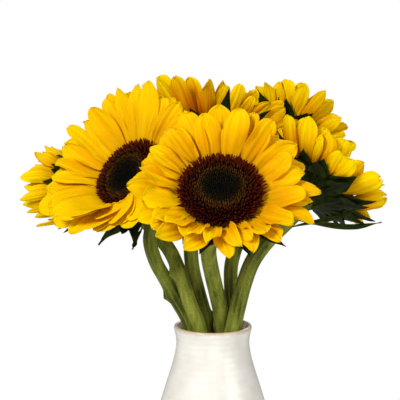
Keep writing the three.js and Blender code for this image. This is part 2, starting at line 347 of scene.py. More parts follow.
@dataclass(frozen=True)
class GreenSkin:
    """Living green skin of a bract, leaf or stem, with veins or ribs and short rough hair.

    Gives the eye a mottled green with paler lengthwise lines and a dusty edge to the light.

    Attributes:
        name: The material's name.
        deep: Its darker green.
        pale: Its paler green.
        line: The colour of its ribs and veins.
        patch: Size of its mottling.
        along: How much the mottling is drawn out upwards: 1 not at all, less for more.
        cup: The green of the receptacle.
        sheen: How dusty its hair makes it.
        gloss: Its specular level.
        rough: Its roughness.
        hair: Distance between hairs.
        relief: Height of the hair.
    """

    name: str
    deep: str
    pale: str
    line: str
    patch: float
    along: float = 1.0
    cup: str = "#1c2808"
    sheen: float = 0.01
    gloss: float = 0.07
    rough: float = 0.55
    hair: float = 0.7 * MM
    relief: float = 0.2 * MM

    def material(self) -> bpy.types.Material:
        """Make this skin's material.

        Returns:
            The material.
        """
        material, tree, surface = painted(
            self.name,
            Roughness=self.rough,
            Specular_IOR_Level=self.gloss,
            Sheen_Weight=self.sheen,
            Sheen_Roughness=0.4,
        )
        spot = add(tree, "TexCoord").outputs["Object"]
        rib, tone, cup = (
            add(tree, "Attribute", attribute_name=name).outputs["Fac"]
            for name in ("fold", "tone", "cup")
        )

        # Mottling, then each blade's own tone.
        drawn = add(tree, "Mapping", {"Vector": spot, "Scale": (1.0, 1.0, self.along)})
        blotch = add(tree, "TexNoise", {"Vector": drawn, "Scale": 1 / self.patch, "Detail": 4.0})
        greens = [(0.38, self.deep), (0.64, self.pale)]
        mottled = add(tree, "ValToRGB", {"Fac": blotch}, stops=greens)
        own = {SHARE: tone, UNDER: mottled, OVER: linear(self.pale)}
        toned = add(tree, "Mix", own, **LAID_OVER)

        # Ribs and veins, and the darker gaps between hairs.
        lines = add(tree, "ValToRGB", {"Fac": rib}, stops=[(0.5, "#000000"), (1.0, "#c0c0c0")])
        ribs = {SHARE: lines, UNDER: toned, OVER: linear(self.line)}
        lined = add(tree, "Mix", ribs, **LAID_OVER)
        hairs = add(tree, "TexNoise", {"Vector": spot, "Scale": 1 / self.hair, "Detail": 2.0})
        gaps = add(tree, "ValToRGB", {"Fac": hairs}, stops=[(0.3, "#b8b8b8"), (0.6, "#ffffff")])
        haired = add(tree, "Mix", {SHARE: 1.0, UNDER: lined, OVER: gaps}, **MULTIPLIED)

        receptacle = {SHARE: cup, UNDER: haired, OVER: linear(self.cup)}
        finished = add(tree, "Mix", receptacle, **LAID_OVER)
        rough = {"Height": hairs, "Distance": self.relief, "Strength": 0.6}
        feed(tree, surface, {"Base Color": finished, "Normal": add(tree, "Bump", rough)})
        return material


@dataclass(frozen=True)
class StonewareGlaze:
    """Thrown stoneware dipped in a pale satin glaze, with a bare foot and a thin lip.

    Gives the eye a soft off-white with faint throwing lines, fine iron specks, a warm line where
    the glaze runs thin at the lip, and dry buff clay at the foot.

    Attributes:
        name: The material's name.
        foot: How high the bare foot stands.
        lip: Height of the lip's round.
        throwing: Distance between throwing lines.
        speck: Distance between iron specks.
        cloud: Size of the glaze's clouds.
        relief: Height of the throwing lines.
    """

    name: str = "satin_glazed_stoneware"
    foot: float = 3.2 * MM
    lip: float = 1.4 * MM
    throwing: float = 5 * MM
    speck: float = 2.2 * MM
    cloud: float = 14 * MM
    relief: float = 0.25 * MM

    def material(self, top: float) -> bpy.types.Material:
        """Make the glaze.

        Args:
            top: The height of the vase's lip.

        Returns:
            The material.
        """
        material, tree, surface = painted(
            self.name, Specular_IOR_Level=0.5, Coat_Weight=0.25, Coat_Roughness=0.12
        )
        spot = add(tree, "TexCoord").outputs["Object"]
        height = add(tree, "SeparateXYZ", {"Vector": spot}).outputs["Z"]

        # Clouds and iron specks in the glaze.
        waver = add(tree, "TexNoise", {"Vector": spot, "Scale": 1 / self.cloud, "Detail": 2.0})
        whites = [(0.3, "#ece8dd"), (0.7, "#f7f4ec")]
        cloud = add(tree, "ValToRGB", {"Fac": waver}, stops=whites)
        cell = add(tree, "TexVoronoi", {"Vector": spot, "Scale": 1 / self.speck})
        iron = add(tree, "ValToRGB", {"Fac": cell}, stops=[(0.05, "#b49c7c"), (0.13, "#ffffff")])
        specked = add(tree, "Mix", {SHARE: 0.35, UNDER: cloud, OVER: iron}, **MULTIPLIED)

        # The warm line at the lip.
        thin = {"Value": height, "From Min": top - 2.5 * self.lip, "From Max": top - 0.2 * MM}
        edge = add(tree, "MapRange", thin)
        warm = {SHARE: edge, UNDER: specked, OVER: linear("#cbb694")}
        lipped = add(tree, "Mix", warm, **LAID_OVER)

        # Bare clay at the foot, below a line that wanders.
        wander = add(tree, "Math", {0: waver, 1: 2.4 * MM}, operation="MULTIPLY")
        line = add(tree, "Math", {0: height, 1: wander}, operation="SUBTRACT")
        below = {"Value": line, "From Min": self.foot, "From Max": self.foot - 0.5 * MM}
        bare = add(tree, "MapRange", below)
        clay = {SHARE: bare, UNDER: lipped, OVER: linear("#bfa586")}
        finished = add(tree, "Mix", clay, **LAID_OVER)
        dry = add(tree, "MapRange", {"Value": bare, "To Min": 0.24, "To Max": 0.85})

        # Throwing lines, which come and go.
        turns = add(tree, "Math", {0: height, 1: TURN / self.throwing}, operation="MULTIPLY")
        ring = add(tree, "Math", {0: turns}, operation="SINE")
        uneven = add(tree, "Math", {0: ring, 1: waver}, operation="MULTIPLY")
        bump = add(tree, "Bump", {"Height": uneven, "Distance": self.relief, "Strength": 0.5})
        feed(tree, surface, {"Base Color": finished, "Roughness": dry, "Normal": bump})
        return material


@dataclass(frozen=True)
class StillWater:
    """Still tap water with a little flower food in it.

    Gives the eye a clear, faintly green pool with a sharp shine.

    Attributes:
        name: The material's name.
        swirl: Size of the swirls in it.
        relief: Height of the swirls on its surface.
    """

    name: str = "still_vase_water"
    swirl: float = 18 * MM
    relief: float = 0.2 * MM

    def material(self) -> bpy.types.Material:
        """Make the water.

        Returns:
            The material.
        """
        material, tree, surface = painted(
            self.name, Roughness=0.03, IOR=1.333, Transmission_Weight=0.85
        )
        spot = add(tree, "TexCoord").outputs["Object"]
        swirl = add(tree, "TexNoise", {"Vector": spot, "Scale": 1 / self.swirl, "Detail": 2.0})
        tint = add(tree, "ValToRGB", {"Fac": swirl}, stops=[(0.3, "#c9d8c8"), (0.7, "#dfe8df")])
        bump = add(tree, "Bump", {"Height": swirl, "Distance": self.relief, "Strength": 0.2})
        feed(tree, surface, {"Base Color": tint, "Normal": bump})
        return material


@dataclass(frozen=True)
class PaperSweep:
    """Matt white background paper, which fades into the light away from the vase.

    Attributes:
        name: The material's name.
        fibre: Size of its fibres.
        clear: How far from the vase it begins to fade.
        gone: Where it has faded.
    """

    name: str = "matt_white_paper"
    fibre: float = 1.5 * MM
    clear: float = 0.16
    gone: float = 0.5

    def material(self) -> bpy.types.Material:
        """Make the paper.

        Returns:
            The material.
        """
        material, tree, surface = painted(self.name, Roughness=0.9, Specular_IOR_Level=0.1)
        spot = add(tree, "TexCoord").outputs["Object"]
        fibre = add(tree, "TexNoise", {"Vector": spot, "Scale": 1 / self.fibre, "Detail": 2.0})
        tint = add(tree, "ValToRGB", {"Fac": fibre}, stops=[(0.3, "#f6f5f3"), (0.7, "#fbfaf8")])
        away = add(tree, "VectorMath", {0: spot}, operation="LENGTH").outputs["Value"]
        fading = {
            "Value": away,
            "From Min": self.clear,
            "From Max": self.gone,
            "To Min": 1.0,
            "To Max": 0.0,
        }
        fade = add(tree, "MapRange", fading, interpolation_type="SMOOTHSTEP")
        feed(tree, surface, {"Base Color": tint, "Alpha": fade})
        return material


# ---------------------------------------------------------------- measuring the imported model


def welded(node: str) -> bmesh.types.BMesh:
    """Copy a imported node's mesh, with its loose triangles merged.

    Args:
        node: The node's name.

    Returns:
        The copy, which the caller frees.
    """
    mesh = bmesh.new()
    mesh.from_mesh(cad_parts[node].data)
    bmesh.ops.remove_doubles(mesh, verts=mesh.verts, dist=WELD)
    mesh.verts.index_update()
    return mesh


def ordered(verts: Iterable[bmesh.types.BMVert]) -> list[bmesh.types.BMVert]:
    """Put vertices in their mesh's own order, so that every run adds them up alike."""
    return sorted(verts, key=lambda v: v.index)


def middle(points: Sequence[Vector]) -> Vector:
    """The mean of some points."""
    return sum(points, Vector()) / len(points)


@dataclass(frozen=True)
class Track:
    """A smooth line through space, read by share of its length.

    Attributes:
        marks: Length along the line at each place.
        places: Close-set places on the line.
    """

    marks: np.ndarray
    places: np.ndarray

    @classmethod
    def over(cls, places: np.ndarray) -> "Track":
        """Measure a line from close-set places on it."""
        steps = np.linalg.norm(np.diff(places, axis=0), axis=1)
        return cls(np.concatenate([[0], np.cumsum(steps)]), places)

    @classmethod
    def through(cls, knots: Sequence[Vector], steps: int = 12) -> "Track":
        """Draw a smooth line through knots.

        Args:
            knots: The points it passes.
            steps: How many places it gets between two knots.

        Returns:
            The line.
        """
        k = np.array([tuple(p) for p in knots])
        k = np.vstack([2 * k[0] - k[1], k, 2 * k[-1] - k[-2]])
        t = np.linspace(0, 1, steps, endpoint=False)[:, None]
        parts = []
        for a, b, c, d in zip(k, k[1:], k[2:], k[3:]):
            square, cube = 2 * a - 5 * b + 4 * c - d, 3 * b - a - 3 * c + d
            parts.append(0.5 * (2 * b + (c - a) * t + square * t**2 + cube * t**3))
        return cls.over(np.vstack([*parts, k[-2]]))

    @property
    def length(self) -> float:
        """The line's whole length."""
        return float(self.marks[-1])

    def at(self, share: np.ndarray) -> np.ndarray:
        """Find places on the line, which runs straight on past both ends.

        Args:
            share: Shares of the length.

        Returns:
            One row of coordinates per share.
        """
        run = np.asarray(share, float) * self.length
        inside = np.clip(run, 0, self.length)
        found = np.stack([np.interp(inside, self.marks, self.places[:, i]) for i in range(3)], -1)
        first = self.places[1] - self.places[0]
        last = self.places[-1] - self.places[-2]
        beyond = (run > inside)[:, None]
        ends = np.where(beyond, last / np.linalg.norm(last), first / np.linalg.norm(first))
        return found + ends * (run - inside)[:, None]

    def along(self, share: np.ndarray, reach: float) -> np.ndarray:
        """Directions of the line at shares of its length, as unit rows."""
        ahead = self.at(np.asarray(share) + reach) - self.at(np.asarray(share) - reach)
        return ahead / np.linalg.norm(ahead, axis=1, keepdims=True)


@dataclass(frozen=True)
class Head:
    """Where one flower head stands.

    Attributes:
        letter: The letter that ends its nodes' names.
        centre: The centre of its disc, in the plane that its petals leave from.
        facing: The way it faces.
        radius: The radius of its disc.
    """

    letter: str
    centre: Vector
    facing: Vector
    radius: float

    @classmethod
    def measured(
        cls, letter: str, rim_height: float = 1.2 * MM, band: float = 0.6 * MM
    ) -> "Head":
        """Measure a head from its packed disc and stem.

        Args:
            letter: The letter that ends its nodes' names.
            rim_height: How far the disc's widest ring stands above the head's own plane.
            band: How far in from the disc's greatest radius that ring still goes.

        Returns:
            The head.
        """
        mesh = welded(f"disc_{letter}")
        points = np.array([v.co[:] for v in mesh.verts])
        mesh.free()
        spread = points - points.mean(0)
        facing = np.linalg.svd(spread)[2][2]
        away = np.linalg.norm(spread - np.outer(spread @ facing, facing), axis=1)
        rim = points[away > away.max() - band]
        centre = rim.mean(0)
        stem = np.array([v.co[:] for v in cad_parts[f"stem_{letter}"].data.vertices])
        near = stem[np.linalg.norm(stem - centre, axis=1) < NECK]
        if (near.mean(0) - centre) @ facing > 0:
            facing = -facing
        radius = float(np.linalg.norm(rim - centre, axis=1).mean())
        place = Vector(centre) - Vector(facing) * rim_height
        return cls(letter, place, Vector(facing).normalized(), radius)

    @property
    def matrix(self) -> Matrix:
        """The head's own frame: Z the way it faces, Y its upper side.

        Returns:
            The matrix that takes the head's own frame to the model's.
        """
        up = (Vector((0, 0, 1)) - self.facing * self.facing.z).normalized()
        axes = Matrix((up.cross(self.facing), up, self.facing)).transposed()
        return Matrix.Translation(self.centre) @ axes.to_4x4()

    def cup(self, behind: float, stem: float = 6 * MM) -> float:
        """Radius of the receptacle, or of the stem past it.

        Args:
            behind: How far behind the disc's rim it is, along the head's axis.
            stem: The plain stem's radius.

        Returns:
            The radius there.
        """
        wide = self.radius
        # Millimetres behind the rim, the radius there, and the least it can be, in stem radii.
        profile = [
            (0.5, wide - 1.8 * MM, 1.1),
            (2.5, wide - 0.8 * MM, 1.1),
            (7, wide - 1.2 * MM, 1.1),
            (11, wide - 4.5 * MM, 1.1),
            (14, wide * 0.66, 1.1),
            (18, wide * 0.4, 1.25),
            (24, 0.0, 1.1),
            (32, 0.0, 1.0),
        ]
        marks = [mark * MM for mark, _, _ in profile]
        radii = [max(radius, stem * least) for _, radius, least in profile]
        return float(np.interp(behind, marks, radii))


@dataclass(frozen=True)
class Blade:
    """One packed petal, bract or leaf.

    Attributes:
        track: Its middle line, from root to tip.
        across: The direction from one side to the other, so that along x across faces front.
        width: Its greatest measured width.
        phi: Which way it points in its head's plane, in degrees from the head's right.
    """

    track: Track
    across: Vector
    width: float
    phi: float = 0.0

    @classmethod
    def measured(
        cls, root: Vector, points: list[Vector], across: Vector, phi: float = 0.0
    ) -> "Blade":
        """Measure a blade from its corners.

        Args:
            root: The middle of its root.
            points: Its corners past the root, those of each station and then those of the tip.
            across: Roughly the way from one side to the other.
            phi: The way it points in its head's plane, in degrees.

        Returns:
            The blade.
        """
        ahead = max(points, key=lambda p: (p - root).length) - root
        points = sorted(points, key=ahead.dot)
        starts = range(0, len(points) - TIP_CORNERS, STATION_CORNERS)
        stations = [points[i : i + STATION_CORNERS] for i in starts]
        knots = [root, *[middle(four) for four in stations], middle(points[-TIP_CORNERS:])]
        widest, best = across, 0.0
        for four in stations:
            four = sorted(four, key=lambda p: (p - root).dot(across))
            span = middle(four[2:]) - middle(four[:2])
            if span.length > best:
                widest, best = span.normalized(), span.length
        return cls(Track.through(knots), widest, best, phi)

    @classmethod
    def between(cls, one: "Blade", other: "Blade", lift: Vector) -> "Blade":
        """Work out a blade halfway between two neighbours.

        Args:
            one: The first neighbour.
            other: The second, with as many stations.
            lift: How far it stands off them.

        Returns:
            The blade.
        """
        track = Track.over((one.track.places + other.track.places) / 2 + np.array(lift))
        across = (one.across + other.across).normalized()
        turn = (other.phi - one.phi + 180) % 360 - 180
        return cls(track, across, (one.width + other.width) / 2, one.phi + turn / 2)

    def carried(self, share: np.ndarray, close: float) -> np.ndarray:
        """Find places on its middle line as it closes to the front about its root.

        Args:
            share: Shares of its length.
            close: How far the tip's end turns, in radians.

        Returns:
            One row of coordinates per share.
        """
        root, axis = self.track.places[0], np.array(self.across)
        out = self.track.at(share) - root
        angle = (-close * np.sqrt(np.clip(share, 0, None)))[:, None]
        turned = out * np.cos(angle) + np.cross(axis, out) * np.sin(angle)
        return root + turned + np.outer(out @ axis, axis) * (1 - np.cos(angle))


def whorl_blades(
    node: str,
    head: Head,
    hub_inset: float = 5 * MM,
    thickness: float = 0.8 * MM,
    band: float = 0.6 * MM,
) -> list[Blade]:
    """Measure every blade of a packed whorl.

    Args:
        node: The whorl's node.
        head: The head that it grows on.
        hub_inset: How far inside the disc's rim the whorl's flat hub keeps.
        thickness: How far from the hub's level a point of its ring may be.
        band: How wide the ring is on which the blades' roots stand.

    Returns:
        Its blades, in order round the head.
    """
    mesh = welded(node)
    local = head.matrix.inverted()
    place = {v: local @ v.co for v in mesh.verts}
    out = {v: math.hypot(p.x, p.y) for v, p in place.items()}
    hub = {v for v in mesh.verts if out[v] < head.radius - hub_inset}
    level = sum(place[v].z for v in ordered(hub)) / len(hub)
    flat = {v for v in mesh.verts if abs(place[v].z - level) < thickness} - hub
    edge = min(out[v] for v in flat)
    rooted = {v for v in flat if out[v] < edge + band}
    left = set(mesh.verts) - hub - rooted
    blades = []
    while left:
        group, front = set(), {left.pop()}
        while front:
            group |= front
            front = {e.other_vert(v) for v in front for e in v.link_edges} & left
            left -= front
        roots = {e.other_vert(v) for v in group for e in v.link_edges} & rooted
        root = middle([v.co for v in ordered(roots)])
        across = head.facing.cross(root - head.centre).normalized()
        phi = math.degrees(math.atan2(*reversed((local @ root)[:2])))
        corners = [v.co.copy() for v in ordered(group)]
        blades.append(Blade.measured(root, corners, across, phi))
    mesh.free()
    return sorted(blades, key=lambda blade: blade.phi)


def leaf_blade(node: str, letter: str) -> Blade:
    """Measure a packed leaf, whose root is its end by the stem.

    Args:
        node: The leaf's node.
        letter: The letter of the flower whose stem it leaves.

    Returns:
        The blade, with its upper face in front.
    """
    mesh = welded(node)
    points = [v.co.copy() for v in mesh.verts]
    mesh.free()
    stem = np.array([v.co[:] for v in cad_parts[f"stem_{letter}"].data.vertices])
    nearest = min(points, key=lambda p: np.linalg.norm(stem - np.array(p), axis=1).min())
    ahead = max(points, key=lambda p: (p - nearest).length) - nearest
    points.sort(key=ahead.dot)
    root = middle(points[:STATION_CORNERS])
    along = points[-1] - root
    across = Vector((0, 0, 1)).cross(along).normalized()
    return Blade.measured(root, points[STATION_CORNERS:], across)


def stem_rings(
    head: Head, clear: float = 33 * MM, near: float = 60 * MM
) -> tuple[list[Vector], float]:
    """Follow a packed stem up from its foot, ring by ring.

    Args:
        head: The head that the stem carries.
        clear: How far behind the disc the stem's plain length ends.
        near: How near the disc a ring has to be for that to count.

    Returns:
        The rings' centres, and the stem's radius.
    """
    mesh = welded(f"stem_{head.letter}")
    ring = set(sorted(mesh.verts, key=lambda v: v.co.z)[:STEM_CORNERS])
    seen, centres, radius = set(), [], 0.0
    while len(ring) == STEM_CORNERS:
        corners = [v.co for v in ordered(ring)]
        centre = middle(corners)
        away = centre - head.centre
        if away.dot(head.facing) > -clear and away.length < near:
            break
        centres.append(centre)
        radius = max(radius, sum((co - centre).length for co in corners) / STEM_CORNERS)
        seen |= ring
        ring = {e.other_vert(v) for v in ring for e in v.link_edges} - seen
    mesh.free()
    return centres, radius


# ---------------------------------------------------------------- growing blades


@dataclass(frozen=True)
class Cut:
    """How a kind of blade is cut out.

    Attributes:
        columns: Faces across it.
        rows: Faces along it.
        base: Half-width at the root, as a share of the greatest.
        peak: Where along it is widest.
        taper: How late it narrows past there.
        point: How sharp its tip is.
        tip: Half-width left at the tip.
        thickness: Its thickness.
        stalk: How late it widens from its root: 1 at once, more for a stalked blade.
    """

    columns: int
    rows: int
    base: float
    peak: float
    taper: float
    point: float
    tip: float
    thickness: float
    stalk: float = 1.0

    def half(self, t: np.ndarray, blunt: float) -> np.ndarray:
        """Work out half-widths.

        Args:
            t: Shares of the length.
            blunt: How blunt this blade's tip is, from 0 to 1.

        Returns:
            Half-widths there, as shares of the greatest.
        """
        opening = np.sin(np.clip(t / self.peak, 0, 1) * math.pi / 2) ** self.stalk
        rise = self.base + (1 - self.base) * opening
        # A blunt tip narrows later and is less sharp.
        taper, point = self.taper + 1.4 * blunt, self.point * (1 - 0.4 * blunt)
        late = np.clip((t - self.peak) / (1 - self.peak), 0, 1) ** taper
        return np.maximum(rise * (1 - late) ** point, self.tip * (1 + blunt))


@dataclass(frozen=True)
class Growth:
    """How one blade has grown: lengths in metres, turns in radians.

    Attributes:
        half: Half its greatest width.
        start: Where it starts, as a share of the measured length.
        stretch: Where it ends, as a share of the measured length.
        close: How far it turns to the front about its root.
        roll: Turn about its own length at the root.
        twist: Turn added from root to tip.
        bow: How far its tip is carried to the front.
        hook: How far its last third is carried to the front.
        swell: How far its middle is.
        channel: How far its sides rise to the front.
        pleat: Height of its lengthwise pleats.
        pleats: How many half-waves of pleat there are across half its width.
        ripple: Height of the waves along its edges.
        sway: How far its tip is carried to one side.
        blunt: How blunt its tip is, from 0 to 1.
        teeth: Depth of the notches in its tip, as a share of the length.
        phase: Where its waves start.
        tone: Its own shade, from 0 to 1.
    """

    half: float
    start: float = -0.1
    stretch: float = 1.0
    close: float = 0.0
    roll: float = 0.0
    twist: float = 0.0
    bow: float = 0.0
    hook: float = 0.0
    swell: float = 0.0
    channel: float = 0.0
    pleat: float = 0.0
    pleats: float = 3.0
    ripple: float = 0.0
    sway: float = 0.0
    blunt: float = 0.0
    teeth: float = 0.0
    phase: float = 0.0
    tone: float = 0.5


class BladeBed:
    """A mesh in which thin blades are laid, each grown along a measured one.

    Attributes:
        cut: How the blades are cut out.
        mesh: The mesh.
    """

    REACH = 0.03  # A blade's direction is read this share of its length ahead and behind.

    def __init__(self, cut: Cut) -> None:
        """Start an empty mesh for blades of one cut.

        Args:
            cut: How the blades are cut out.
        """
        self.cut = cut
        self.mesh = bmesh.new()
        self.mesh.loops.layers.uv.new("along")
        for name in ("tone", "fold", "back"):
            self.mesh.verts.layers.float.new(name)

    def lay(self, blade: Blade, growth: Growth) -> None:
        """Lay one blade.

        Args:
            blade: The measured blade that it follows.
            growth: How it has grown.
        """
        sheet = bmesh.new()
        sheet.loops.layers.uv.new("along")
        tone, fold, back = (sheet.verts.layers.float.new(name) for name in ("tone", "fold", "back"))
        grid = bmesh.ops.create_grid(
            sheet, x_segments=self.cut.columns, y_segments=self.cut.rows, size=1, calc_uvs=True
        )
        u, t = np.array([(v.co.x, (v.co.y + 1) / 2) for v in grid["verts"]]).T
        places, folds = self.shaped(blade, growth, u, t)
        for vert, place, depth in zip(grid["verts"], places, folds):
            vert.co = place
            vert[tone], vert[fold] = growth.tone, depth
        sheet.normal_update()

        # The back is a second skin one thickness behind the front, joined to it along the edge.
        lifted = {vert: vert.co - vert.normal * self.cut.thickness for vert in sheet.verts}
        copied = bmesh.ops.duplicate(sheet, geom=[*sheet.verts, *sheet.edges, *sheet.faces])
        for vert, place in lifted.items():
            copied["vert_map"][vert].co = place
            copied["vert_map"][vert][back] = 1.0
        behind = [item for item in copied["geom"] if isinstance(item, bmesh.types.BMFace)]
        bmesh.ops.reverse_faces(sheet, faces=behind)
        bmesh.ops.bridge_loops(sheet, edges=[edge for edge in sheet.edges if edge.is_boundary])
        data = bpy.data.meshes.new("sheet")
        sheet.to_mesh(data)
        sheet.free()
        self.mesh.from_mesh(data)
        bpy.data.meshes.remove(data)

    def shaped(
        self, blade: Blade, growth: Growth, u: np.ndarray, t: np.ndarray
    ) -> tuple[np.ndarray, np.ndarray]:
        """Find where the points of a flat grid go.

        Args:
            blade: The measured blade.
            growth: How this one has grown.
            u: Places across, from -1 to 1.
            t: Places along, from 0 to 1.

        Returns:
            Coordinates, and how deep in a pleat each point lies, from 0 to 1.
        """
        # Where each point is along the measured line, with notches cut into the tip alone.
        notch = growth.teeth * t**10 * (np.cos(2.6 * math.pi * u + growth.phase) - 1)
        share = growth.start + (growth.stretch - growth.start) * (t + notch)
        centre = blade.carried(share, growth.close)
        ahead = blade.carried(share + self.REACH, growth.close)
        along = ahead - blade.carried(share - self.REACH, growth.close)
        along /= np.linalg.norm(along, axis=1, keepdims=True)

        # The directions to the side and out of the face, turned about the line.
        side = np.array(blade.across) - along * (along @ np.array(blade.across))[:, None]
        side /= np.linalg.norm(side, axis=1, keepdims=True)
        face = np.cross(along, side)
        turn = (growth.roll + growth.twist * t)[:, None]
        cos, sin = np.cos(turn), np.sin(turn)
        side, face = side * cos + face * sin, face * cos - side * sin

        # How far each point stands out: channel, pleats, rippled edges, swell, bow and hook.
        half = growth.half * self.cut.half(t, growth.blunt)
        waves = math.pi * growth.pleats * u + 0.7 * np.sin(2.2 * t + growth.phase)
        pleat = 0.62 * np.cos(waves + 0.5 * growth.phase)
        pleat = pleat + 0.38 * np.cos(1.9 * waves + growth.phase)
        ripple = np.sin(TURN * 1.7 * t + growth.phase + 1.9 * np.sign(u))
        relief = growth.channel * np.abs(u) ** 1.6 * (half / growth.half) * (1 - 0.55 * t)
        relief += growth.pleat * pleat * np.sin(math.pi * np.clip(0.06 + 0.92 * t, 0, 1)) ** 0.6
        relief += growth.ripple * np.abs(u) ** 2.5 * ripple * t**0.7
        relief += growth.swell * np.sin(math.pi * np.clip(t, 0, 1) ** 0.5)
        relief += growth.bow * t**2 + growth.hook * np.clip((t - 0.62) / 0.38, 0, 1) ** 2

        places = centre + side * (half * u + growth.sway * t**2)[:, None] + face * relief[:, None]
        return places, np.clip(0.5 - 0.6 * pleat, 0, 1) * np.clip(1.25 - t, 0, 1)


def piece_from(
    mesh: bmesh.types.BMesh, name: str, skin: bpy.types.Material, nodes: Sequence[str]
) -> bpy.types.Object:
    """Turn a finished mesh into a piece that rides on the model.

    Args:
        mesh: The mesh, in the row frame. It is freed.
        name: The piece's name.
        skin: Its material.
        nodes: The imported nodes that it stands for.

    Returns:
        The piece.
    """
    data = bpy.data.meshes.new(name)
    mesh.to_mesh(data)
    mesh.free()
    data.materials.append(skin)
    data.shade_smooth()
    piece = bpy.data.objects.new(name, data)
    bpy.context.scene.collection.objects.link(piece)
    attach(piece, "root")
    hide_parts(*nodes)
    return piece


# ---------------------------------------------------------------- the flower head


class Layer(Enum):
    """Which of its two whorls a ring of petals or bracts is."""

    INNER = "inner"
    OUTER = "outer"


@dataclass(frozen=True)
class Push:
    """What presses on the petals on one side of a head.

    Attributes:
        toward: The side, in degrees anticlockwise from the head's right.
        over: How far round it reaches, in degrees.
        swell: How far it bulges the petals' middles to the front, in millimetres.
        length: What share it adds to their length.
        close: How far it turns them to the front, in radians.
        hook: How far it carries their last third to the front, in millimetres.
        width: What share it adds to their width.
        sway: How far it carries their tips anticlockwise, in millimetres.
        tone: What it adds to their paleness, which paints light and shade on that side of the head.
        calm: How much it smooths them, up to 1.
        bract: What share it adds to the bracts' length.
        ragged: How deeply it frays the tips, as a share of the length.
    """

    toward: float
    over: float
    swell: float = 0.0
    length: float = 0.0
    close: float = 0.0
    hook: float = 0.0
    width: float = 0.0
    sway: float = 0.0
    tone: float = 0.0
    calm: float = 0.0
    bract: float = 0.0
    ragged: float = 0.0


@dataclass(frozen=True)
class Bloom:
    """How one flower's petals grow, lengths in millimetres.

    Attributes:
        letter: The letter that ends its nodes' names.
        width: Usual greatest width of a petal.
        stretch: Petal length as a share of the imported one.
        channel: How far a petal's sides rise.
        bow: How far a petal's tip is carried to the front.
        hook: How far its last third is.
        close: How far the whole flower has closed, in radians.
        loose: How unruly the petals are, about 1.
        extra: The share of gaps between petals that hold one more.
        even: How alike the petals' lengths are, up to 1.
        blunt: How blunt the bluntest tips are, from 0 to 1.
        bract: The bracts' length as a share of the usual.
        pale: How pale they are, from 0 to 1.
        pushes: What presses on its sides.
    """

    letter: str
    width: float
    stretch: float = 1.0
    channel: float = 2.0
    bow: float = 0.0
    hook: float = 0.0
    close: float = 0.0
    loose: float = 1.0
    extra: float = 0.0
    even: float = 0.0
    blunt: float = 1.0
    bract: float = 1.0
    pale: float = 0.4
    pushes: tuple[Push, ...] = ()


def press(bloom: Bloom, blade: Blade, what: str) -> float:
    """Add up what a flower's neighbours do to one of its petals.

    Args:
        bloom: The flower.
        blade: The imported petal.
        what: The Push field to add up.

    Returns:
        Its sum where the petal points.
    """
    total = 0.0
    for push in bloom.pushes:
        off = (blade.phi - push.toward + 180) % 360 - 180
        total += getattr(push, what) * math.exp(-((off / push.over) ** 2))
    return total


